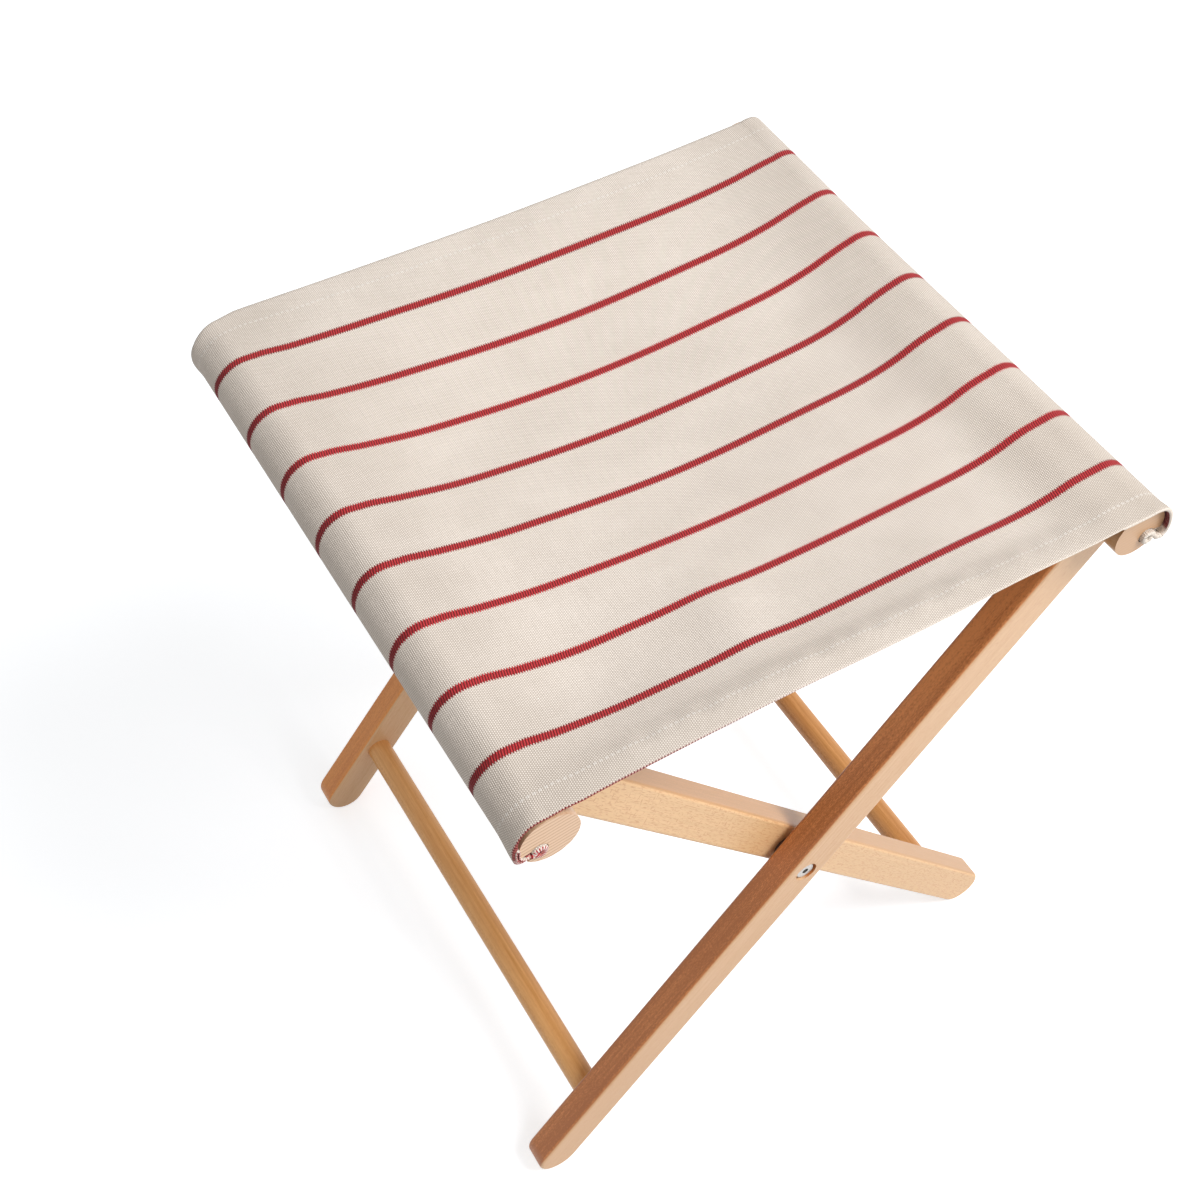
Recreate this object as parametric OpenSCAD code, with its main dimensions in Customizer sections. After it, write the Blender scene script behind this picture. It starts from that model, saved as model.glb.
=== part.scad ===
// Folding stool: two crossed beech frames, hinged where their legs cross, with a
// canvas sling hung between their top rails.
// Origin on the floor under the middle of the stool. X runs from rail to rail,
// Y along the rails and Z up. The outer frame carries the rail at +X.

/* [Stool] */
// Distance between the two rails' axes, with the stool open
rail_spacing = 360; // [320:1:400]
// Height of the rails' axes above the floor, with the stool open
rail_height = 467; // [430:1:500]

/* [Legs] */
// Width of a leg, seen from the side
leg_w = 29.5; // [24:0.5:32]
// Thickness of a leg, along the rails
leg_t = 18.5; // [15:0.5:24]
// Radius of the rounded long edges of a leg
leg_arris = 2.5; // [1:0.5:4]
// Gap between an outer leg and the inner leg beside it
leg_gap = 4.1; // [3:0.1:6]

/* [Rails] */
// Diameter of a rail
rail_d = 33; // [30:0.5:38]
// Length of a rail
rail_len = 387; // [320:1:460]
// How far a rail runs on past the outer legs' outer faces
rail_overhang = 17.3; // [10:0.1:30]
// Direction of the groove, in degrees below level, towards the outside
groove_angle = 10; // [0:1:20]
// Distance of the groove's round bottom from the rail's axis, along the groove
groove_offset = 7; // [6.5:0.1:7.5]
// How far the middle of the groove lies below the rail's axis
groove_drop = 5; // [4:0.1:5.5]

/* [Stretchers] */
// Diameter of a stretcher
stretcher_d = 18; // [14:0.5:20]
// Distance along the leg from the centre of the rounded foot to the stretcher
stretcher_up = 53; // [40:1:90]
// Depth of the blind holes that hold the stretchers
stretcher_seat = 10; // [7:0.5:12]

/* [Seat] */
// How far each side edge of the canvas stands past the rails' ends
cloth_overhang = 2; // [0:0.5:6]
// Thickness of the canvas
cloth_t = 1.4; // [1:0.1:1.8]
// How far the middle of the seat hangs below the tops of the rails
middle_sag = 24; // [10:1:40]
// How far the two side edges of the seat hang below the tops of the rails
edge_sag = 1; // [0.5:0.5:8]
// Length of the hem's loose end, past the groove's mouth
hem_tail = 1.8; // [1:0.1:2.5]

/* [Hem rods] */
// Diameter of the rod inside each hem
core_d = 5; // [4:0.1:5.5]
// How far each end of the rod stays inside the hem
core_inset = 8; // [2:1:20]

/* [Pivots] */
// Outer diameter of the sleeve nut, which the inner leg turns on
sleeve_d = 8; // [7.2:0.2:10]
// Diameter of the pivot bolt
bolt_d = 6; // [5:0.2:6]
// Length of the pivot bolt under its head
bolt_len = 25; // [20:1:30]
// Diameter of the head of the bolt and of the sleeve nut
head_d = 12.4; // [11:0.2:15]
// Thickness of those heads
head_t = 2; // [1.4:0.1:3]
// How far the heads lie below the faces of the legs
head_sink = 1; // [0.5:0.1:2]
// Wood left between the recess in an outer leg and the end of the sleeve nut
web_t = 3; // [2:0.5:6]
// Width across the flats of the hexagon sockets
socket_af = 4; // [3:0.5:4]
// Diameter of the spacer washer between the crossing legs
washer_d = 16; // [12:1:22]

/* [Rail screws] */
// Diameter of the screws that hold the rails to the legs
screw_d = 4; // [3:0.1:4.5]
// Length of those screws
screw_len = 60; // [50:5:80]
// Diameter of their countersunk heads
screw_head_d = 8; // [7:0.5:8.5]

/* [Hidden] */
$fn = 72;

beech = [0.91, 0.75, 0.58];
canvas = [0.91, 0.87, 0.82];
steel = [0.80, 0.81, 0.82];
black_nylon = [0.10, 0.10, 0.11];
pale_rod = [0.93, 0.92, 0.88];

// Clearances
glue_gap = 0.05;      // round a stretcher, and under a rail
turn_gap = 0.05;      // round the sleeve, in the legs
thread_gap = 0.1;     // round the bolt, in the sleeve
play = 0.2;           // between faces that turn on each other
recess_gap = 1.2;     // round the heads, in their recesses
seat_gap = 0.5;       // between the canvas and the rail
hem_gap = 0.4;        // between the two layers of a hem
core_gap = 0.3;       // round the rod, in its hem
groove_gap = 0.8;     // round the hem, in the groove's round bottom
mouth_gap = 1.6;      // beside the two layers of the hem, in the groove's mouth
end_gap = 0.3;        // at the bottom of a blind hole
cut = 1;              // how far a cutting shape runs past the face that it cuts

// The frames as seen from the side
rail_r = rail_d / 2;
foot_r = leg_w / 2;
pivot_z = (rail_height + foot_r) / 2;
leg_span = sqrt(rail_spacing * rail_spacing + pow(rail_height - foot_r, 2));
half_leg = leg_span / 2;
lean = atan2(rail_spacing, rail_height - foot_r);

// Places along the rails, measured from the middle of the stool
outer_leg_out = rail_len / 2 - rail_overhang;
outer_leg_in = outer_leg_out - leg_t;
inner_leg_out = outer_leg_in - leg_gap;
inner_leg_in = inner_leg_out - leg_t;
outer_leg_mid = (outer_leg_out + outer_leg_in) / 2;
inner_leg_mid = (inner_leg_out + inner_leg_in) / 2;
seat_w = rail_len + 2 * cloth_overhang;

// Groove, round the hem that it holds
groove_bore_d = core_d + 2 * (core_gap + cloth_t + groove_gap);
groove_mouth = 2 * cloth_t + hem_gap + 2 * mouth_gap;

// Pivot hardware, along the same line
recess_d = head_d + 2 * recess_gap;
recess_depth = head_t + head_sink;
bolt_seat = outer_leg_out - recess_depth;
sleeve_open = bolt_seat - web_t;
sleeve_seat = inner_leg_in + recess_depth - play;
sleeve_core_end = bolt_seat - bolt_len - cut;
washer_t = leg_gap - play;
head_edge = 0.6;      // width of the small bevel round the heads
head_edge_h = 0.4;    // height of that bevel
socket_extra = 0.6;   // how far a socket runs on past the head, into the shank

// Rail screws
screw_head_h = (screw_head_d - screw_d) / 2;
screw_top = sqrt(rail_r * rail_r - pow(screw_head_d / 2, 2)) - seat_gap;
screw_tip_d = 0.4;
screw_tip_h = 4;
cross_w = 1;
cross_depth = 1.2;

// Canvas
core_r = core_d / 2;
half_t = cloth_t / 2;
lane = half_t + hem_gap / 2;
loop_r = core_r + core_gap + half_t;
wrap_r = rail_r + seat_gap + half_t;
lip_r = groove_mouth / 2 - lane;
lip_v = groove_mouth / 2;
lip_u = sqrt(pow(wrap_r - lip_r, 2) - pow(lip_v - groove_drop, 2));
lip_turn = atan2(lip_v - groove_drop, lip_u);
loop_open = asin(lane / loop_r);
loop_steps = 8;
lip_steps = 2;
wrap_steps = 7;
span_steps = 5;
width_steps = 6;

// Puts one frame's pieces in place: its legs along local Z, its pivot at the local
// origin. side is 1 for the outer frame and -1 for the inner frame.
module in_frame(side) {
    translate([0, 0, pivot_z])
        rotate([0, side * lean, 0])
            children();
}

// Puts a piece at one rail, on its axis
module at_rail(side) {
    mirror([side < 0 ? 1 : 0, 0, 0])
        translate([rail_spacing / 2, 0, rail_height])
            children();
}

// Puts a piece in that rail's groove, on the axis of its round bottom
module in_groove() {
    rotate([0, groove_angle, 0])
        translate([groove_offset, 0, -groove_drop])
            children();
}

// A cylinder along Y from y1 to y2
module bar_y(d, y1, y2) {
    translate([0, y1, 0])
        rotate([-90, 0, 0])
            cylinder(d = d, h = y2 - y1);
}

// Rounded rectangle made of plain squares and circles
module rounded_section(w, t, r) {
    union() {
        square([w - 2 * r, t], center = true);
        square([w, t - 2 * r], center = true);
        for (sx = [-1, 1], sy = [-1, 1])
            translate([sx * (w / 2 - r), sy * (t / 2 - r)])
                circle(r = r);
    }
}

// One leg, centred on y = 0: a bar with rounded long edges, a half-round foot at the
// bottom and its top hollowed to the rail
module leg_blank() {
    translate([0, 0, -half_leg])
        linear_extrude(height = leg_span)
            rounded_section(leg_w, leg_t, leg_arris);
    translate([0, 0, -half_leg])
        rotate([90, 0, 0])
            rotate([0, 0, 180])
                rotate_extrude(angle = 180)
                    intersection() {
                        rounded_section(leg_w, leg_t, leg_arris);
                        translate([0, -leg_t])
                            square([leg_w, 2 * leg_t]);
                    }
}

// Turns a piece of the far side into its twin on the near side, where side is -1
module on_side(side) {
    mirror([0, side < 0 ? 1 : 0, 0])
        children();
}

// A far leg between two faces, less the shapes given as children
module leg(face_in, face_out) {
    difference() {
        translate([0, (face_in + face_out) / 2, 0])
            leg_blank();
        // hollow for the rail
        translate([0, 0, half_leg])
            bar_y(rail_d + 2 * glue_gap, face_in - cut, face_out + cut);
        // blind hole for the stretcher
        translate([0, 0, stretcher_up - half_leg])
            bar_y(stretcher_d + 2 * glue_gap, face_in - cut, face_in + stretcher_seat);
        // hole for the rail's screw, down the end grain
        translate([0, (face_in + face_out) / 2, half_leg + screw_top - screw_len - end_gap])
            cylinder(d = screw_d + 2 * glue_gap, h = screw_len);
        children();
    }
}

// Outer leg: its pivot hole has a recess for the bolt's head in the outward face
module outer_leg(side) {
    color(beech)
        in_frame(1)
            on_side(side)
                leg(outer_leg_in, outer_leg_out) {
                    bar_y(recess_d, bolt_seat, outer_leg_out + cut);
                    bar_y(bolt_d + 2 * thread_gap, outer_leg_in, outer_leg_out);
                    bar_y(sleeve_d + 2 * turn_gap, outer_leg_in - cut, sleeve_open + end_gap);
                }
}

// Inner leg: it turns on the sleeve nut, whose head lies in the inward face
module inner_leg(side) {
    color(beech)
        in_frame(-1)
            on_side(side)
                leg(inner_leg_in, inner_leg_out) {
                    bar_y(recess_d, inner_leg_in - cut, inner_leg_in + recess_depth);
                    bar_y(sleeve_d + 2 * turn_gap, inner_leg_in - cut, inner_leg_out + cut);
                }
}

// Rail with its keyhole groove and the holes for its two screws
module rail(side, leg_mid) {
    color(beech)
        difference() {
            at_rail(side)
                bar_y(rail_d, -rail_len / 2, rail_len / 2);
            at_rail(side)
                in_groove() {
                    bar_y(groove_bore_d, -rail_len / 2 - cut, rail_len / 2 + cut);
                    translate([0, -rail_len / 2 - cut, -groove_mouth / 2])
                        cube([rail_d, rail_len + 2 * cut, groove_mouth]);
                }
            in_frame(side)
                for (s = [-1, 1])
                    translate([0, s * leg_mid, half_leg])
                        screw_hole();
        }
}

// Countersunk clearance hole through the rail, along the leg
module screw_hole() {
    translate([0, 0, -rail_d])
        cylinder(d = screw_d + 2 * glue_gap, h = 2 * rail_d);
    translate([0, 0, screw_top - screw_head_h - glue_gap])
        cylinder(d1 = screw_d, d2 = screw_head_d, h = screw_head_h);
    translate([0, 0, screw_top - glue_gap])
        cylinder(d = screw_head_d, h = rail_d);
}

// Two countersunk screws, down through a rail into its legs
module rail_screws(side, leg_mid) {
    color(steel)
        in_frame(side)
            for (s = [-1, 1])
                translate([0, s * leg_mid, half_leg + screw_top])
                    difference() {
                        union() {
                            translate([0, 0, -screw_head_h])
                                cylinder(d1 = screw_d, d2 = screw_head_d, h = screw_head_h);
                            translate([0, 0, -screw_len + screw_tip_h])
                                cylinder(d = screw_d, h = screw_len - screw_tip_h - screw_head_h / 2);
                            translate([0, 0, -screw_len])
                                cylinder(d1 = screw_tip_d, d2 = screw_d, h = screw_tip_h);
                        }
                        for (a = [0, 90])
                            rotate([0, 0, a])
                                translate([-screw_head_d / 4, -cross_w / 2, -cross_depth])
                                    cube([screw_head_d / 2, cross_w, cross_depth + cut]);
                    }
}

// Stretcher, glued into blind holes in both legs
module stretcher(side, leg_face) {
    reach = leg_face + stretcher_seat - end_gap;
    color(beech)
        in_frame(side)
            translate([0, 0, stretcher_up - half_leg])
                bar_y(stretcher_d, -reach, reach);
}

// Flat head along Y from y = 0, bevelled at its outer face, y = head_t
module flat_head() {
    bar_y(head_d, 0, head_t - head_edge_h);
    translate([0, head_t - head_edge_h, 0])
        rotate([-90, 0, 0])
            cylinder(d1 = head_d, d2 = head_d - 2 * head_edge, h = head_edge_h);
}

// Hexagon socket in that head
module socket() {
    translate([0, -socket_extra, 0])
        rotate([-90, 0, 0])
            cylinder(d = socket_af / cos(30), h = socket_extra + head_t + cut, $fn = 6);
}

// Pivot bolt, with its head in the recess of the outer leg
module pivot_bolt(side) {
    color(steel)
        in_frame(1)
            on_side(side)
                difference() {
                    union() {
                        bar_y(bolt_d, bolt_seat - bolt_len, bolt_seat + head_t / 2);
                        translate([0, bolt_seat, 0])
                            flat_head();
                    }
                    translate([0, bolt_seat, 0])
                        socket();
                }
}

// Sleeve nut: a blind threaded sleeve, with its head in the recess of the inner leg
module pivot_sleeve(side) {
    color(steel)
        in_frame(1)
            on_side(side)
                difference() {
                    union() {
                        bar_y(sleeve_d, sleeve_seat - head_t / 2, sleeve_open);
                        translate([0, sleeve_seat, 0])
                            mirror([0, 1, 0])
                                flat_head();
                    }
                    bar_y(bolt_d + 2 * thread_gap, sleeve_core_end, sleeve_open + cut);
                    translate([0, sleeve_seat, 0])
                        mirror([0, 1, 0])
                            socket();
                }
}

// Spacer washer on the sleeve, between the crossing legs
module spacer_washer(side) {
    color(black_nylon)
        in_frame(1)
            on_side(side)
                difference() {
                    bar_y(washer_d, outer_leg_in - washer_t, outer_leg_in);
                    bar_y(sleeve_d + 2 * turn_gap, outer_leg_in - washer_t - cut, outer_leg_in + cut);
                }
}

// Rod inside a hem
module hem_core(side) {
    color(pale_rod)
        at_rail(side)
            in_groove()
                bar_y(core_d, core_inset - seat_w / 2, seat_w / 2 - core_inset);
}

// The canvas. Its path is followed from the loose end of one hem to the middle of the
// seat. Each point is [x, z, nx, nz]: a place on the middle of the cloth, and the
// direction of its upper face.

// A point in the groove's own axes, u outwards along the groove from the rail's axis
// and v up from the groove's middle
function from_groove(u, v, nu, nv) = let (w = v - groove_drop) [
    rail_spacing / 2 + u * cos(groove_angle) + w * sin(groove_angle),
    rail_height - u * sin(groove_angle) + w * cos(groove_angle),
    nu * cos(groove_angle) + nv * sin(groove_angle),
    -nu * sin(groove_angle) + nv * cos(groove_angle)];

// A point on an arc about a centre in the groove's axes. way is 1 where the upper
// face looks away from the centre.
function on_arc(cu, cv, r, a, way) =
    from_groove(cu + r * cos(a), cv + r * sin(a), way * cos(a), way * sin(a));

function sag_at(y) = edge_sag + (middle_sag - edge_sag) * (1 - pow(2 * y / seat_w, 2));
function slope_at(y) = atan2(2 * sag_at(y), rail_spacing / 2);
function leave_x(y) = rail_spacing / 2 - wrap_r * sin(slope_at(y));
function leave_z(y) = rail_height + wrap_r * cos(slope_at(y));

function hem_path() = concat(
    [from_groove(rail_r + hem_tail, -lane, 0, 1)],
    [for (i = [0 : loop_steps])
        on_arc(groove_offset, 0, loop_r, -loop_open - i * (360 - 2 * loop_open) / loop_steps, -1)],
    [for (i = [0 : lip_steps - 1])
        on_arc(lip_u, lip_v, lip_r, -90 + i * (90 + lip_turn) / lip_steps, 1)]);

function wrap_path(y) = [for (i = [0 : wrap_steps])
    let (a = lip_turn - groove_angle + i * (90 + slope_at(y) - lip_turn + groove_angle) / wrap_steps)
        [rail_spacing / 2 + wrap_r * cos(a), rail_height + wrap_r * sin(a), cos(a), sin(a)]];

function span_path(y) = [for (i = [1 : span_steps - 1])
    let (f = 1 - i / span_steps, a = atan(f * tan(slope_at(y))))
        [f * leave_x(y), leave_z(y) - leave_x(y) * tan(slope_at(y)) * (1 - f * f) / 2, -sin(a), cos(a)]];

function middle_point(y) = [0, leave_z(y) - leave_x(y) * tan(slope_at(y)) / 2, 0, 1];

function half_path(y) = concat(hem_path(), wrap_path(y), span_path(y));
function mirrored(path) = [for (i = [len(path) - 1 : -1 : 0])
    [-path[i][0], path[i][1], -path[i][2], path[i][3]]];
function full_path(y) = concat(half_path(y), [middle_point(y)], mirrored(half_path(y)));

// Outline of the cloth at one place along the rails: its upper face, then its lower
// face on the way back
function outline(y) = let (p = full_path(y), n = len(p)) concat(
    [for (i = [0 : n - 1]) [p[i][0] + half_t * p[i][2], y, p[i][1] + half_t * p[i][3]]],
    [for (i = [n - 1 : -1 : 0]) [p[i][0] - half_t * p[i][2], y, p[i][1] - half_t * p[i][3]]]);

module seat_sling() {
    rings = [for (j = [0 : width_steps]) outline(seat_w * (j / width_steps - 0.5))];
    n = len(rings[0]);
    half = n / 2;
    sides = [for (j = [0 : width_steps - 1], i = [0 : n - 1], k = [0, 1])
        let (a = j * n + i, b = j * n + (i + 1) % n)
            k == 0 ? [a, b, b + n] : [a, b + n, a + n]];
    near_end = [for (i = [0 : half - 2], k = [0, 1])
        k == 0 ? [i, n - 1 - i, n - 2 - i] : [i, n - 2 - i, i + 1]];
    far_end = [for (t = near_end) [for (v = [2, 1, 0]) t[v] + width_steps * n]];
    color(canvas)
        polyhedron(points = [for (r = rings, p = r) p], faces = concat(sides, near_end, far_end));
}

outer_leg(-1);  // outer_leg_near
outer_leg(1);  // outer_leg_far
rail(1, outer_leg_mid);  // outer_rail
stretcher(1, outer_leg_in);  // outer_stretcher
inner_leg(-1);  // inner_leg_near
inner_leg(1);  // inner_leg_far
rail(-1, inner_leg_mid);  // inner_rail
stretcher(-1, inner_leg_in);  // inner_stretcher
seat_sling();
hem_core(1);  // outer_hem_core
hem_core(-1);  // inner_hem_core
pivot_bolt(-1);  // pivot_bolt_near
pivot_bolt(1);  // pivot_bolt_far
pivot_sleeve(-1);  // pivot_sleeve_near
pivot_sleeve(1);  // pivot_sleeve_far
spacer_washer(-1);  // spacer_washer_near
spacer_washer(1);  // spacer_washer_far
rail_screws(1, outer_leg_mid);  // outer_rail_screws
rail_screws(-1, inner_leg_mid);  // inner_rail_screws
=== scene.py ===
from math import atan2, cos, pi, radians, sin, tan

import bpy
import numpy as np
from mathutils import Matrix, Vector


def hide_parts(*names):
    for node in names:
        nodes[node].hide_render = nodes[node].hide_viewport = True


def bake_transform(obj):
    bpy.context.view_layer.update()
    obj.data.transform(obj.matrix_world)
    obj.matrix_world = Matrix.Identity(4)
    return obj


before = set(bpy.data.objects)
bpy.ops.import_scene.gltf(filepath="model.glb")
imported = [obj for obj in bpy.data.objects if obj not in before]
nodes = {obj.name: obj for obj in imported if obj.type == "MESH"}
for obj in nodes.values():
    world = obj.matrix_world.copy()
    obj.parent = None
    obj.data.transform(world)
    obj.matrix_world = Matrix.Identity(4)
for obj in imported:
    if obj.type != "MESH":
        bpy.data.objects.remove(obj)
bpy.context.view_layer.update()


# The wider frame's two legs: straight steamed-beech bars, 29.5 x 18.5 mm, planed, with soft
# arrises and rounded feet, under a clear satin varnish. They lean to the right. Each has its own
# board's tone: broad faces pale, with short ray flecks, and narrow faces deeper, with long fibres.
# The narrow faces' dark red is partly the edge grain and partly painted shade, set dark for the
# shaded upper side. The near leg is painted lighter toward its top as painted light, in place of
# the seat's shadow there.
class Wire:
    """One output in a material's nodes. Arithmetic on it makes Math nodes."""

    def __init__(self, tree, socket=None):
        self.tree = tree
        self.socket = socket

    def node(self, kind, settings=(), inputs=(), output=0):
        made = self.tree.nodes.new(kind)
        for name, value in dict(settings).items():
            setattr(made, name, value)
        for name, value in dict(inputs).items():
            if isinstance(value, Wire):
                self.tree.links.new(value.socket, made.inputs[name])
            else:
                made.inputs[name].default_value = value
        return Wire(self.tree, made.outputs[output] if made.outputs else None)

    def math(self, operation, *values):
        return self.node("ShaderNodeMath", {"operation": operation}, enumerate(values))

    def __add__(self, other):
        return self.math("ADD", self, other)

    def __radd__(self, other):
        return self.math("ADD", other, self)

    def __sub__(self, other):
        return self.math("SUBTRACT", self, other)

    def __rsub__(self, other):
        return self.math("SUBTRACT", other, self)

    def __mul__(self, other):
        return self.math("MULTIPLY", self, other)

    def __rmul__(self, other):
        return self.math("MULTIPLY", other, self)

    def __truediv__(self, other):
        return self.math("DIVIDE", self, other)

    def __abs__(self):
        return self.math("ABSOLUTE", self)

    def rise(self, low, high):
        return self.node("ShaderNodeMapRange", {"interpolation_type": "SMOOTHSTEP"},
                         {0: self, 1: low, 2: high})


def finish_of(name, **sockets):
    material = bpy.data.materials.new(name)
    material.use_nodes = True
    shader = material.node_tree.nodes["Principled BSDF"]
    for socket, value in sockets.items():
        shader.inputs[socket.replace("_", " ")].default_value = value
    return material, shader, Wire(material.node_tree)


def plug(shader, **sockets):
    for socket, wire in sockets.items():
        wire.tree.links.new(wire.socket, shader.inputs[socket.replace("_", " ")])


def two_tone(factor, first, second):
    inputs = {0: factor}
    for key, colour in ((6, first), (7, second)):
        inputs[key] = colour if isinstance(colour, Wire) else (*colour, 1.0)
    return factor.node("ShaderNodeMix", {"data_type": "RGBA"}, inputs, 2)


def cloudy(start, x, y, z, detail=2.0):
    place = start.node("ShaderNodeCombineXYZ", inputs={0: x, 1: y, 2: z})
    return start.node("ShaderNodeTexNoise",
                      inputs={"Vector": place, "Scale": 1.0, "Detail": detail})


def beech(name, grain, across, seed, pale, deep, narrow_pale, narrow_deep, flecks=0.5, rings=0.0,
          painted_light_top=0.0):
    """Varnished beech: the pale and deep tones of its broad faces, then of its narrow ones."""
    material, shader, start = finish_of(name, Roughness=0.45, Coat_Weight=0.12, Coat_Roughness=0.3)
    place = start.node("ShaderNodeTexCoord", output="Object")
    facing = start.node("ShaderNodeTexCoord", output="Normal")
    third = Vector(grain).cross(Vector(across))

    def reach(source, direction):
        return start.node("ShaderNodeVectorMath", {"operation": "DOT_PRODUCT"},
                          {0: source, 1: tuple(direction)}, "Value")

    # Millimetres along and across the grain, from a place of its own in the plank.
    run = reach(place, grain) * 1000 + 37.0 * seed
    side = reach(place, across) * 1000 + 53.0 * seed
    deep_in = reach(place, third) * 1000 + 71.0 * seed
    boards = cloudy(start, run * 0.005, side * 0.06, deep_in * 0.06, 3.0)
    streaks = cloudy(start, run * 0.006, side * 0.45, deep_in * 0.45, 2.0)
    fibres = cloudy(start, run * 0.06, side * 2.4, deep_in * 2.4, 3.0)
    # Ray flecks, at a slant to the grain, and the short dark pores along it.
    dash_run = run * 0.42 + side * 0.9
    dash_side = run * 0.9 - side * 0.42
    dashes = cloudy(start, dash_run * 0.2, dash_side * 1.1, deep_in * 0.5, 1.0).rise(0.63, 0.76)
    pores = cloudy(start, run * 0.22 + fibres * 0.8, side * 1.5, deep_in * 1.5, 2.0)
    grains = cloudy(start, run * 0.5, side * 2.2, deep_in * 2.2, 2.0)
    dashes = dashes.math("MAXIMUM", dashes, pores.rise(0.52, 0.66) * 0.8)
    on_narrow = abs(reach(facing, across)).rise(0.55, 0.85)
    on_end = abs(reach(facing, grain)).rise(0.8, 0.95)
    depth = ((boards - 0.5) * 1.3 + (streaks - 0.5) * 1.3 + (fibres - 0.5) * 1.1
             + (grains - 0.5) * 2.6 * on_narrow + 0.5)
    # Painted light: this weight paints the bar lighter toward its top and darker toward its foot,
    # in place of the seat's shadow on its top.
    depth = depth + painted_light_top * (0.5 - (reach(place, grain) * 1000).rise(0.0, leg_reach))
    depth = start.node("ShaderNodeClamp", inputs={0: depth})
    colour = two_tone(depth, pale, deep)
    colour = two_tone(dashes * (1 - on_narrow) * (1 - on_end) * flecks, colour,
                      (deep[0] * 0.85, deep[1] * 0.66, deep[2] * 0.58))
    # The narrow faces' own tones: on the outer legs and the right rail they are partly the deeper
    # edge grain and partly painted shade, set dark and red for their shaded sides.
    narrow = two_tone(depth, narrow_pale, narrow_deep)
    colour = two_tone(on_narrow, colour, narrow)
    # Growth rings, cut across at the sawn ends.
    ring_turn = (deep_in + side * 0.12) * (2 * pi / ring_width) + boards * 5
    lines = ring_turn.math("SINE", ring_turn)
    end_tone = two_tone(lines.rise(0.1, 1.0) * (0.15 + 0.85 * rings), pale, deep)
    colour = two_tone(on_end, colour, end_tone)
    relief = fibres * 0.5 - dashes * (1 - on_end) * 0.3
    bump = start.node("ShaderNodeBump",
                      inputs={"Strength": 0.25, "Distance": 0.0002, "Height": relief})
    plug(shader, Base_Color=colour, Roughness=0.36 + fibres * 0.18, Normal=bump)
    return material


def dress(node, material):
    made = nodes[node]
    if not made.material_slots:
        made.data.materials.append(material)
    for place in made.material_slots:
        place.material = material


leg_reach = 560.0
ring_width = 2.6
lean = radians(38.52)
outer_grain = (sin(lean), 0.0, cos(lean))
outer_across = (cos(lean), 0.0, -sin(lean))
dress("outer_leg_near", beech("outer leg beech, near", outer_grain, outer_across, 1.0,
                              (0.81, 0.52, 0.30), (0.70, 0.41, 0.205),
                              (0.80, 0.305, 0.09), (0.46, 0.145, 0.034), 0.35,
                              painted_light_top=1.1))
dress("outer_leg_far", beech("outer leg beech, far", outer_grain, outer_across, 2.3,
                             (0.77, 0.50, 0.28), (0.66, 0.38, 0.18),
                             (0.87, 0.35, 0.09), (0.70, 0.23, 0.045), 0.3))


# The narrower frame's two legs: the same bars, leaning to the left. The near one shows a flat-sawn
# face with many short ray flecks that lie at a slant to its grain. The near one is also painted
# lighter toward its top and darker toward its foot: painted light in place of the seat's shadow.
inner_grain = (-sin(lean), 0.0, cos(lean))
inner_across = (cos(lean), 0.0, sin(lean))
dress("inner_leg_near", beech("inner leg beech, near", inner_grain, inner_across, 3.1,
                              (0.93, 0.60, 0.315), (0.81, 0.51, 0.255),
                              (0.69, 0.375, 0.165), (0.60, 0.33, 0.15), 0.9,
                              painted_light_top=1.0))
dress("inner_leg_far", beech("inner leg beech, far", inner_grain, inner_across, 4.7,
                             (0.78, 0.52, 0.30), (0.68, 0.41, 0.21),
                             (0.72, 0.45, 0.24), (0.62, 0.34, 0.16), 0.4))


# The two top rails: round beech dowels, turned, with a keyhole groove run along each for the
# canvas's hem. Their sawn ends show the growth rings as fine straight lines. The right rail's
# sides take a deeper, redder tone, partly its wood and partly painted shade.
rail_grain = (0.0, 1.0, 0.0)
rail_across = (1.0, 0.0, 0.0)
dress("inner_rail", beech("left rail beech", rail_grain, rail_across, 5.2,
                          (0.81, 0.555, 0.37), (0.62, 0.36, 0.195),
                          (0.80, 0.54, 0.34), (0.68, 0.40, 0.22), 0.2, 1.0))
dress("outer_rail", beech("right rail beech", rail_grain, rail_across, 6.9,
                          (0.62, 0.37, 0.20), (0.50, 0.28, 0.14),
                          (0.58, 0.31, 0.12), (0.48, 0.235, 0.08), 0.2, 0.2))


# The two stretchers: thin beech dowels between each pair of legs, glued into blind holes near the
# feet. They are more golden than the legs. The right one's deep orange-brown is partly its wood
# and partly painted shade of its place under the seat.
dress("outer_stretcher", beech("left stretcher beech", rail_grain, rail_across, 8.4,
                               (0.89, 0.475, 0.175), (0.68, 0.30, 0.08),
                               (0.89, 0.475, 0.175), (0.68, 0.30, 0.08), 0.25))
dress("inner_stretcher", beech("right stretcher beech", rail_grain, rail_across, 9.8,
                               (0.72, 0.35, 0.115), (0.47, 0.18, 0.040),
                               (0.72, 0.35, 0.115), (0.47, 0.18, 0.040), 0.25))


# The pivot bolts and the sleeve nuts they screw into: bright nickel-plated steel, with flat heads
# turned on a lathe, whose rings show in the light. The rail screws are the same steel.
pivot_height = 240.875
turning_pitch = 0.35


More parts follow.
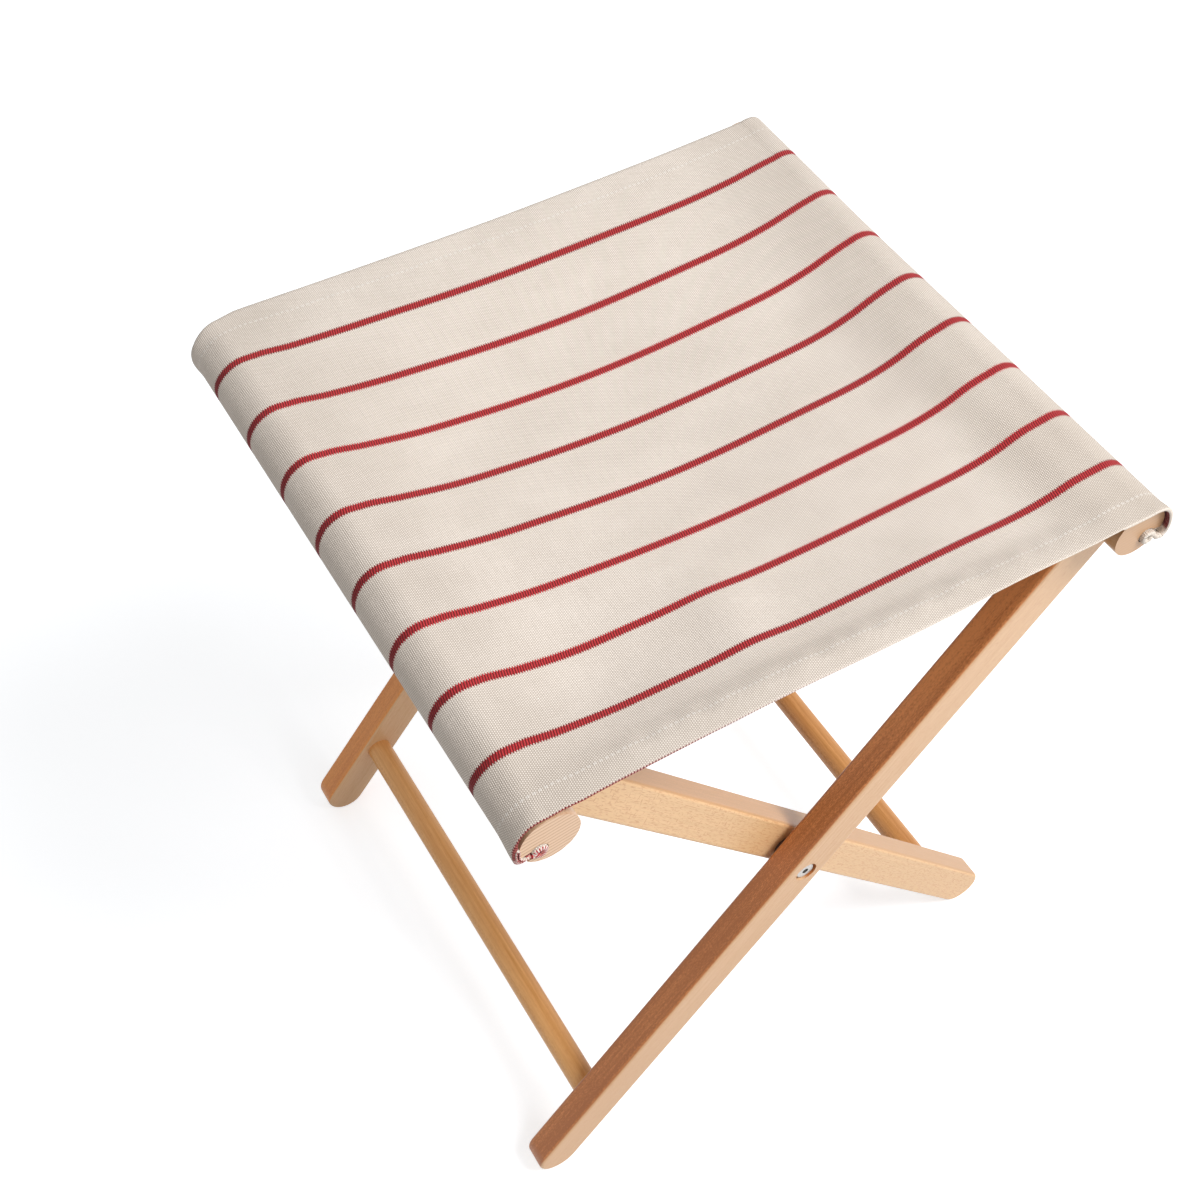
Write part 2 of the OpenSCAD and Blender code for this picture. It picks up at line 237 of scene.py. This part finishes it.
def plated_steel(name):
    material, shader, start = finish_of(name, Base_Color=(0.70, 0.69, 0.67, 1), Metallic=1.0,
                                        Roughness=0.25)
    place = start.node("ShaderNodeTexCoord", output="Object")
    parts = [start.node("ShaderNodeSeparateXYZ", inputs={0: place}, output=k) for k in (0, 2)]
    x, z = parts[0] * 1000, parts[1] * 1000 - pivot_height
    squares = x * x + z * z
    ring_turn = squares.math("SQRT", squares) * (2 * pi / turning_pitch)
    rings = ring_turn.math("SINE", ring_turn)
    wear = cloudy(start, x * 0.8, z * 0.8, 0.0, 3.0)
    bump = start.node("ShaderNodeBump", inputs={"Strength": 0.15, "Distance": 0.00005,
                                                "Height": rings})
    plug(shader, Base_Color=two_tone(wear, (0.55, 0.53, 0.50), (0.41, 0.39, 0.37)),
         Roughness=0.2 + wear * 0.2, Normal=bump)
    return material


head_steel = plated_steel("plated steel")
for steel_node in ("pivot_bolt_near", "pivot_bolt_far", "pivot_sleeve_near", "pivot_sleeve_far",
                   "outer_rail_screws", "inner_rail_screws"):
    dress(steel_node, head_steel)


# The washers that hold the crossing legs apart: moulded dark brown nylon, a little worn to a sheen
# where the legs turn on them.
nylon, nylon_shader, nylon_start = finish_of("dark nylon", Base_Color=(0.05, 0.025, 0.015, 1),
                                             Roughness=0.45)
nylon_place = nylon_start.node("ShaderNodeTexCoord", output="Object")
nylon_x, nylon_y, nylon_z = (nylon_start.node("ShaderNodeSeparateXYZ", inputs={0: nylon_place},
                                              output=k) * 1000 for k in range(3))
nylon_wear = cloudy(nylon_start, nylon_x * 0.6, nylon_y * 0.6, nylon_z * 0.6, 3.0)
plug(nylon_shader, Base_Color=two_tone(nylon_wear, (0.04, 0.018, 0.010), (0.075, 0.036, 0.020)),
     Roughness=0.3 + nylon_wear * 0.35)
for washer in ("spacer_washer_near", "spacer_washer_far"):
    dress(washer, nylon)


# The rods in the hems: thin pale dowels, cut a little short of the canvas, round which each hem is
# looped so that it can't pull out of its groove.
rod_beech = beech("hem rod", rail_grain, rail_across, 11.5,
                  (0.74, 0.62, 0.46), (0.62, 0.48, 0.32),
                  (0.72, 0.60, 0.44), (0.60, 0.46, 0.30), 0.15)
for rod in ("outer_hem_core", "inner_hem_core"):
    dress(rod, rod_beech)


# The seat: one length of heavy ribbed cotton canvas, cream with eight crimson stripes from rail to
# rail and a red-flecked back, with a narrow hem sewn along each side. Each end is carried over its
# rail, tucked into the groove round the rod, brought out, turned under and sewn to itself.
span = 360.0
rail_axis_z = 467.0
rail_r = 16.5
cloth_t = 1.4
cloth_w = 391.0
half_w = cloth_w / 2
wrap_r = rail_r + 0.5 + cloth_t / 2
groove_angle = radians(10)
groove_offset, groove_drop = 7.0, 5.0
loop_r, lane = 3.5, 0.9
side_hem_w = 14.3


def ease(value, low, high):
    part = np.clip((np.asarray(value, float) - low) / (high - low), 0, 1)
    return part * part * (3 - 2 * part)


def polar(angle, reach):
    return reach * cos(radians(angle)), reach * sin(radians(angle))


def in_groove(u, v):
    w = v - groove_drop
    return (u * cos(groove_angle) + w * sin(groove_angle),
            -u * sin(groove_angle) + w * cos(groove_angle))


def hem_line(ply, proud, loop_reach, high):
    """Points (x, z, thickness) of one end's hem about its rail's axis, from the turned edge on.

    Ply is the thickness of the turned layers, proud how far the wrap stands off them, loop_reach
    how much the loop is fuller than its rod, and high how far the wrap stands off the rail's top.
    """
    first = rail_r + 0.1 + ply / 2
    second = first + ply + 0.1
    outer = second + ply / 2 + 0.1 + cloth_t / 2 + proud
    line = [(*polar(a, second), ply) for a in (-11, -4, 4, 10.5)]
    line += [(*polar(13.5, (first + second) / 2), ply)]
    line += [(*polar(a, first), ply) for a in (10.5, 4, -4, -11)]
    line += [(*in_groove(16.0, 2.4), ply), (*in_groove(14.7, 1.25), 1.1),
             (*in_groove(12.6, lane), cloth_t)]
    for a in range(20, 341, 20):
        reach = loop_r + loop_reach * (1 + 0.6 * sin(radians(3 * a)))
        u, v = polar(a, reach)
        line += [(*in_groove(groove_offset + u, v), cloth_t)]
    line += [(*in_groove(12.6, -lane), cloth_t), (*in_groove(14.6, -1.0), cloth_t)]
    line += [(*polar(-31, 17.3), cloth_t), (*polar(-26, outer - 0.75), cloth_t)]
    for a in (-19, -12, -4, 4, 12, 21, 30, 40, 50, 60):
        back = float(ease(a, 12, 56))
        line += [(*polar(a, outer + (wrap_r + high - outer) * back), cloth_t)]
    return np.array(line)


def smooth_line(line, steps):
    """A curve through every point of the line, with that many steps between two of them."""
    ends = np.vstack([2 * line[0] - line[1], line, 2 * line[-1] - line[-2]])
    made = []
    for k in range(1, len(ends) - 2):
        p0, p1, p2, p3 = ends[k - 1:k + 3]
        for part in np.arange(steps) / steps:
            made.append(0.5 * (2 * p1 + (p2 - p0) * part
                               + (2 * p0 - 5 * p1 + 4 * p2 - p3) * part ** 2
                               + (3 * p1 - 3 * p2 + p3 - p0) * part ** 3))
    made.append(line[-1])
    return np.array(made)


middle_fit = (-14.88, 1.51, 15.58, 24.46, -4.98, -5.73)
near_edge_height = 20.7


def middle_of(w):
    """Height of the seat's upper face midway between the rails, from the rails' axis."""
    height = np.polyval(middle_fit, w / half_w)
    return height + (near_edge_height - height) * float(ease(-w, 168, 190))


# Soft hollows and swellings of the cloth: x, y, rise, and how far each reaches in x and y.
hollows = ((-125, -130, -4.4, 42, 36), (-42, -138, 3.4, 20, 38), (124, 10, -3.8, 38, 130),
           (-158, 0, 1.8, 26, 130), (-60, -10, 0.8, 40, 60), (160, -50, 2.0, 14, 90),
           (112, -194, 3.2, 50, 14), (-90, 160, 1.2, 60, 30), (128, -145, -2.2, 32, 62),
           (163, -135, 1.8, 13, 72))
near_side = np.arange(-half_w, -half_w + 30, 1.5)
far_side = np.arange(half_w, half_w - 22, -2.0)[::-1]
widths = np.concatenate([near_side, np.linspace(near_side[-1], far_side[0], 72)[1:-1], far_side])
span_steps = 96
wrap_steps = 7
hem_steps = 3
grid = []
for w in widths:
    from_edge = half_w - abs(w)
    flare = 1 - float(ease(from_edge, 0, 18))
    lip = 1 - float(ease(from_edge, 0, 14))
    sag = wrap_r + cloth_t / 2 - middle_of(w)
    slope = atan2(2 * sag, span / 2)
    leave_x = span / 2 - wrap_r * sin(slope)
    leave_z = wrap_r * cos(slope)
    sides = []
    for side in (1, -1):
        high = (1.7 if side > 0 else 1.4) * lip
        if side > 0:
            high = max(high, 3.2 * float(ease(w, 40, 195)))
        if side > 0 and w < 0:
            hem = hem_line(0.7, -1.0 * lip, 0.4 * flare, high)
        else:
            hem = hem_line(0.7 + 0.45 * flare, 0.1 * flare, 0.3 * flare, high)
        hem = smooth_line(hem, hem_steps)
        wrap = [(*polar(60 + (30 + slope * 180 / pi) * k / wrap_steps,
                        wrap_r + high * (1 - k / wrap_steps)), cloth_t)
                for k in range(1, wrap_steps)]
        points = np.vstack([hem, wrap])
        points[:, 0] = side * (span / 2 + points[:, 0])
        sides.append(points)
    f = np.linspace(1, -1, 2 * span_steps + 1)
    x = f * leave_x
    z = leave_z - leave_x * tan(slope) * (1 - f * f) / 2
    near = np.exp(-((w + half_w) / 26) ** 2)
    z = z - 6.0 * near * f * (1 - f * f)
    puckers = np.exp(-((from_edge - 15.5) / 4.5) ** 2) * (1 if w < 0 else 0.5)
    z = z + 0.55 * puckers * (1 - f ** 6) * (np.sin(x / 3.1 + 1.3 * np.sin(x / 17)) * 0.6
                                            + np.sin(x / 5.3 + w / 5) * 0.7)
    for hollow_x, hollow_w, rise, reach_x, reach_w in hollows:
        z = z + (1 - f ** 8) * rise * np.exp(-((x - hollow_x) / reach_x) ** 2
                                             - ((w - hollow_w) / reach_w) ** 2)
    z = z + 0.25 * (1 - f * f) * (np.sin(x / 31 + w / 23) + np.sin(w / 19 - x / 47))
    middle = np.column_stack([x, z, np.full(len(x), cloth_t)])
    grid.append(np.vstack([sides[0], middle, sides[1][::-1]]))
grid = np.array(grid)
columns, rows = grid.shape[:2]
heading = np.gradient(grid[:, :, :2], axis=1)
heading /= np.linalg.norm(heading, axis=2, keepdims=True)
normal = np.stack([heading[:, :, 1], -heading[:, :, 0]], axis=2)
steps = np.linalg.norm(np.diff(grid[:, :, :2], axis=1), axis=2)
run = np.concatenate([np.zeros((columns, 1)), np.cumsum(steps, axis=1)], axis=1)
run -= run[:, rows // 2][:, None]

# How far the stripes and the edges drift to the side, by the distance along the cloth from its
# middle, which counts down toward the right rail and up toward the left one.
edge_part = (widths / half_w) ** 4 * (widths < 0)
drift = np.interp(run[0],
                  (-215, -172, -150, -80, 0, 60, 90, 120, 155, 170, 186, 194, 200, 206, 212),
                  (-4.7, -4.6, -5.4, -4.6, -3.1, -1.6, -0.7, -0.4, 0.3, 1.8, 1.6, 1.4, 0.0, -1.4,
                   -1.8))
fan = np.interp(run[0], (0, 90, 150, 170, 186, 194, 200, 206, 212),
                (0, 0, 0.4, 0.9, 1.1, 1.4, 2.6, 3.8, 4.3))
skew_edge = np.interp(run[0], (-200, -182, -160, 0, 30, 68, 105, 143, 162, 172, 182, 192, 200),
                      (-1.7, -1.6, -1.4, -0.1, 0.3, 0.7, 1.1, 1.6, 1.6, 2.4, 2.4, 2.7, 2.2))
skew_mid = drift + fan * (widths[:, None] / 154) ** 2
skew_far = np.interp(run[0], (-172, 0, 90, 150, 160, 170, 180, 190, 200),
                     (-4.6, -3.1, -0.7, 0.9, 1.2, 1.4, -0.5, -2.9, -4.3))
far_part = np.clip((widths - 150) / (half_w - 150), 0, 1) ** 2
across = (widths[:, None] + skew_mid + (skew_edge - skew_mid) * edge_part[:, None]
          + (skew_far - skew_mid) * far_part[:, None])

# The side hems thicken the cloth's edges, most of all in the loops and at their mouths.
half_up = grid[:, :, 2] / 2
half_down = half_up.copy()
loop_from, loop_to, sewn_at = 11 * hem_steps, 30 * hem_steps, 34 * hem_steps
in_loop = np.zeros(rows)
in_loop[loop_from:loop_to] = 1
in_loop[::-1][loop_from:loop_to] = 1
filled = 1 - ease(half_w - np.abs(widths), 1.0, 5.0)
fill = np.where(run[0] < 0, 1.6, 2.5)
half_down = half_down + (fill * in_loop)[None, :] * filled[:, None]
selvedge = 1.0 * (run[0] < -160) - 0.3 * ease(run[0], 130, 170)
mouth = [run[0, -point * hem_steps] for point in (40, 37, 32, 30)]
corner = 2.4 * ease(run[0], *mouth[:2]) * (1 - ease(run[0], *mouth[2:]))
half_down = half_down + (selvedge * (1 - in_loop) + corner)[None, :] * filled[:, None]
sewn_from = float(run[0, sewn_at])
drawn_in = np.zeros(rows)
drawn_in[:loop_from] = 5.0
drawn_in[loop_from + hem_steps:loop_to - hem_steps] = 1.6
drawn_in[hem_steps - loop_to:-loop_from - hem_steps] = -1.0
drawn_in[-loop_from:] = -1.4
across = across + drawn_in[None, :] * (1 - ease(widths + half_w, 0.0, 25.0))[:, None]


def face_points(offset):
    return np.stack([grid[:, :, 0] + normal[:, :, 0] * offset, across,
                     rail_axis_z + grid[:, :, 1] + normal[:, :, 1] * offset], axis=2)


def weave_points(face):
    return np.stack([run, np.broadcast_to(widths[:, None], run.shape), np.full(run.shape, face)],
                    axis=2)


# Two faces, and a rounded rim along each side.
upper, lower = face_points(half_up), face_points(-half_down)
rim_out = 0.25
vertices = [upper.reshape(-1, 3), lower.reshape(-1, 3)]
weave = [weave_points(1.0).reshape(-1, 3), weave_points(-1.0).reshape(-1, 3)]
for column, way in ((0, -1), (columns - 1, 1)):
    for part in (0.25, 0.5, 0.75):
        rim = upper[column] * (1 - part) + lower[column] * part
        rim[:, 1] += way * rim_out * (half_up + half_down)[column] * sin(pi * part)
        vertices.append(rim)
        mark = weave_points(1.0)[column].copy()
        mark[:, 2] = 1 - 2 * part
        weave.append(mark)
vertices, weave = np.vstack(vertices), np.vstack(weave)
count = columns * rows
faces = []
for c in range(columns - 1):
    for r in range(rows - 1):
        a = c * rows + r
        faces.append((a, a + rows, a + rows + 1, a + 1))
        faces.append((count + a, count + a + 1, count + a + rows + 1, count + a + rows))
for c in range(columns - 1):
    for r, flip in ((0, False), (rows - 1, True)):
        a, b = c * rows + r, (c + 1) * rows + r
        quad = (a, count + a, count + b, b)
        faces.append(quad[::-1] if flip else quad)
for which, column in enumerate((0, columns - 1)):
    first = 2 * count + which * 3 * rows
    ladder = [column * rows, first, first + rows, first + 2 * rows, count + column * rows]
    for top, bottom in zip(ladder, ladder[1:]):
        for r in range(rows - 1):
            quad = (top + r, top + r + 1, bottom + r + 1, bottom + r)
            faces.append(quad[::-1] if which else quad)
seat_mesh = bpy.data.meshes.new("seat_canvas")
seat_mesh.from_pydata((vertices * 0.001).tolist(), [], faces)
seat_mesh.polygons.foreach_set("use_smooth", [True] * len(seat_mesh.polygons))
weave_layer = seat_mesh.attributes.new("weave", "FLOAT_VECTOR", "POINT")
weave_layer.data.foreach_set("vector", weave.astype(np.float32).ravel())
seat_mesh.validate()
seat = bpy.data.objects.new("seat_canvas", seat_mesh)
bpy.context.collection.objects.link(seat)

canvas, canvas_shader, start = finish_of("striped canvas", Roughness=0.85, Specular_IOR_Level=0.25,
                                         Sheen_Weight=0.06, Sheen_Roughness=0.5)
mark = start.node("ShaderNodeAttribute", {"attribute_name": "weave"}, output="Vector")
along, sideways, face = (start.node("ShaderNodeSeparateXYZ", inputs={0: mark}, output=k)
                         for k in range(3))

# The weave, in millimetres along the cloth and sideways. Weft ribs, warp threads, slubs and picks
# make its tone. The cream is also darkened toward the rails, most on the right wrap toward the
# front, and in a band along the near side: painted shade where the cloth turns from the light.
rib_pitch = 1.11
warp_repeat = 1.23
rib_turn = along * (pi / rib_pitch)
weft = rib_turn.math("COSINE", rib_turn)
ribs = weft * weft * 2 - 1
warp_turn = sideways * (2 * pi / warp_repeat)
cross = weft * warp_turn.math("COSINE", warp_turn)
blotches = cloudy(start, along * 0.02, sideways * 0.03, 0.0, 3.0)
slubs = cloudy(start, along * 0.9, sideways * 0.06, face, 2.0)
picks = cloudy(start, along * 0.07, sideways * 1.3, face, 2.0)
# Painted shade: the cream darkens toward both rails, and most on the right wrap toward the front,
# where the cloth turns away from the light.
ends = abs(along).rise(120.0, 175.0)
ends = ends + (along.rise(-125.0, -162.0) * (1 - along.rise(-184.0, -196.0) * 0.4)
               * sideways.rise(-30.0, -140.0) * 1.3)
shade = 0.5 + ribs * 0.40 + cross * 0.75 + (slubs - 0.5) * 0.3 + (picks - 0.5) * 0.3 - ends * 0.22
seam_at = half_w - side_hem_w
in_side_hem = sideways.rise(-seam_at, -seam_at - 2.0)
# Painted light and shade: light and dark diagonal streaks in the near hem stand in for the shading
# of its small puckers.
painted_pucker_shading = cloudy(start, along * 0.30 + sideways * 0.30, sideways * 0.05, 0.0, 2.0) - 0.5
shade = shade + painted_pucker_shading * in_side_hem * (1 - abs(sideways).rise(187.0, 194.0)) * 0.45
# Painted shade: a band along the near side is darker, where the cloth curves up to its hem; the
# rest is lifted a little.
shade = shade + 0.11 - sideways.rise(-150.0, -185.0) * 0.22
shade = start.node("ShaderNodeClamp", inputs={0: shade + (blotches - 0.5) * 0.5})
cream = two_tone(shade, (0.575, 0.495, 0.42), (0.98, 0.885, 0.80))

# The stripes, whose edges step from rib to rib, and the stitches of the side hems.
stripe_pitch = 44.0
tooth_pitch = 1.45
stitch_pitch = 3.2
stripe_at = abs(sideways.math("FLOORED_MODULO", sideways, stripe_pitch) - stripe_pitch / 2)
tooth_turn = along * (2 * pi / tooth_pitch)
tooth = tooth_turn.math("SINE", tooth_turn) * 2.0
tooth = start.node("ShaderNodeClamp", inputs={0: tooth, 1: -1.0, 2: 1.0}) * 0.45
within = 1 - abs(sideways).rise(180.0, 182.0)
red = (1 - (stripe_at - tooth).rise(2.3, 2.6)) * within
blush = (1 - (stripe_at - tooth).rise(2.6, 3.4)) * 0.2 * within
twist = tooth_turn + sideways * 1.1
crimson = two_tone(twist.math("SINE", twist).rise(-0.8, 0.8), (0.16, 0.0075, 0.0095),
                   (0.63, 0.049, 0.055))
# Painted shade: the stripes darken toward the left end, where the cloth turns down over the left
# rail away from the light.
crimson = two_tone(along.rise(178.0, 200.0) * 0.55, crimson, (0.05, 0.003, 0.004))
front = two_tone(red, two_tone(blush, cream, (0.72, 0.42, 0.38)), crimson)
stitch_row = 1 - abs(abs(sideways) - seam_at).rise(0.4, 1.0)
stitch_turn = along * (2 * pi / stitch_pitch)
stitches = stitch_row * stitch_turn.math("SINE", stitch_turn).rise(-0.5, 0.1)
# Painted shade: a faint darker line along each hem seam.
front = two_tone(stitch_row * 0.08, front, (0.42, 0.36, 0.30))
front = two_tone(stitches * 0.45, front, (0.95, 0.90, 0.84))

# The back, flecked with red, and the edges, where the red weft shows as beads.
bead_pitch = 1.66
back_mix = ribs + cross * 1.2
# The back's red is partly its dye and partly painted shade: its dark tone is set deep for the
# shaded gaps where it shows at the rails.
back = two_tone((back_mix + (slubs - 0.5) * 3.0).rise(-1.3, -0.6), (0.50, 0.22, 0.19),
                (0.13, 0.008, 0.012))
fade = along.rise(-50.0, 130.0)
bead_turn = along * (2 * pi / bead_pitch) + face * 1.2
beads = bead_turn.math("SINE", bead_turn).rise(-0.1, 0.3) * fade
rim_dots = beads * (1 - face.rise(0.9, 1.0)) * face.rise(-0.95, -0.85)
selvedge_line = sideways.rise(-194.9, -195.2) * (1 - abs(along).rise(205.0, 212.0))
front = two_tone(beads * selvedge_line * along.rise(60.0, 170.0), front, (0.20, 0.014, 0.02))
ruddy = along.rise(60.0, 170.0) * (1 - along.rise(-sewn_from - 1.0, -sewn_from + 1.0))
rim = two_tone(fade, (0.84, 0.75, 0.66), two_tone(ruddy, (0.92, 0.78, 0.72), (0.50, 0.13, 0.11)))
in_hem = along.rise(-sewn_from - 1.0, -sewn_from + 1.0)
rim = two_tone(in_hem * (1 - face.rise(-0.5, 0.1)), rim, (0.74, 0.33, 0.28))
rim = two_tone(rim_dots, rim, two_tone(in_hem, (0.14, 0.008, 0.012), (0.42, 0.022, 0.03)))
back = two_tone(along.rise(sewn_from - 1.5, sewn_from + 1.5), (0.84, 0.75, 0.66), back)
cloth = two_tone(face.rise(-0.92, -0.85), back, rim)
cloth = two_tone(face.rise(0.85, 0.92), cloth, front)
height = ribs * 0.5 + cross * 0.5 + (slubs - 0.5) * 0.4 + stitches * 0.3
bump = start.node("ShaderNodeBump", inputs={"Strength": 0.6, "Distance": 0.0003,
                                            "Height": height})
plug(canvas_shader, Base_Color=cloth, Normal=bump)
seat_mesh.materials.append(canvas)
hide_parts("seat_sling")
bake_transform(seat)


# The studio: a white floor that keeps a pale shadow, white surroundings, soft light from all
# round, one large soft lamp high on the right and to the front, and a faint one low in front.
def finish_surround(start, lights, shows, ending):
    """One shader lights the stool, the other is what the camera and mirrors are shown."""
    rays = [start.node("ShaderNodeLightPath", output=ray) for ray in
            ("Is Camera Ray", "Is Glossy Ray", "Is Transmission Ray")]
    seen = start.node("ShaderNodeClamp", inputs={0: rays[0] + rays[1] + rays[2]})
    whole = start.node("ShaderNodeMixShader", inputs={0: seen, 1: lights, 2: shows})
    start.node(ending, inputs={"Surface": whole})


floor_mesh = bpy.data.meshes.new("floor")
floor_mesh.from_pydata([(-6, -6, 0), (6, -6, 0), (6, 6, 0), (-6, 6, 0)], [], [(0, 1, 2, 3)])
floor = bpy.data.objects.new("floor", floor_mesh)
bpy.context.collection.objects.link(floor)
floor_paint = bpy.data.materials.new("white floor")
floor_paint.use_nodes = True
floor_paint.node_tree.nodes.clear()
start = Wire(floor_paint.node_tree)
plain_floor = start.node("ShaderNodeBsdfDiffuse", inputs={"Color": (0.62, 0.62, 0.62, 1)})
seen_diffuse = start.node("ShaderNodeBsdfDiffuse", inputs={"Color": (0.76, 0.79, 0.82, 1)})
seen_glow = start.node("ShaderNodeEmission", inputs={"Color": (1, 1, 1, 1), "Strength": 0.60})
seen_floor = start.node("ShaderNodeAddShader", inputs={0: seen_diffuse, 1: seen_glow})
finish_surround(start, plain_floor, seen_floor, "ShaderNodeOutputMaterial")
floor_mesh.materials.append(floor_paint)

world = bpy.data.worlds.new("studio")
world.use_nodes = True
world.node_tree.nodes.clear()
start = Wire(world.node_tree)
around = start.node("ShaderNodeBackground", inputs={"Color": (1, 1, 1, 1), "Strength": 0.45})
seen_white = start.node("ShaderNodeBackground", inputs={"Color": (1, 1, 1, 1), "Strength": 1.0})
finish_surround(start, around, seen_white, "ShaderNodeOutputWorld")
bpy.context.scene.world = world

lit_spot = Vector((0, 0, 0.3))
lamps = (("key", 1.2, 61.0, (0.45, -0.46, 0.76), 2.8),
         ("fill", 2.0, 5.0, (-0.10, -0.94, 0.33), 2.5))
for lamp_name, size, energy, direction, distance in lamps:
    lamp = bpy.data.lights.new(lamp_name, "AREA")
    lamp.size, lamp.energy = size, energy
    light = bpy.data.objects.new(lamp_name, lamp)
    light.location = lit_spot + Vector(direction) * distance
    light.rotation_euler = (lit_spot - light.location).to_track_quat("-Z", "Y").to_euler()
    bpy.context.collection.objects.link(light)
bpy.context.scene.view_settings.view_transform = "Standard"


# The camera, where the photograph was taken: in front, to the left and above, looking down.
turn_axis = Vector((2.4002, -0.6643, 0.2146))
to_camera = Matrix.Rotation(turn_axis.length, 3, turn_axis.normalized())
camera_data = bpy.data.cameras.new("camera")
camera_data.sensor_width = 36.0
camera_data.lens = 51.603
camera = bpy.data.objects.new("camera", camera_data)
facing = Matrix((to_camera[0], -to_camera[1], -to_camera[2])).transposed()
camera.matrix_world = Matrix.Translation((-0.3613, -0.5583, 1.1663)) @ facing.to_4x4()
bpy.context.collection.objects.link(camera)
bpy.context.scene.camera = camera
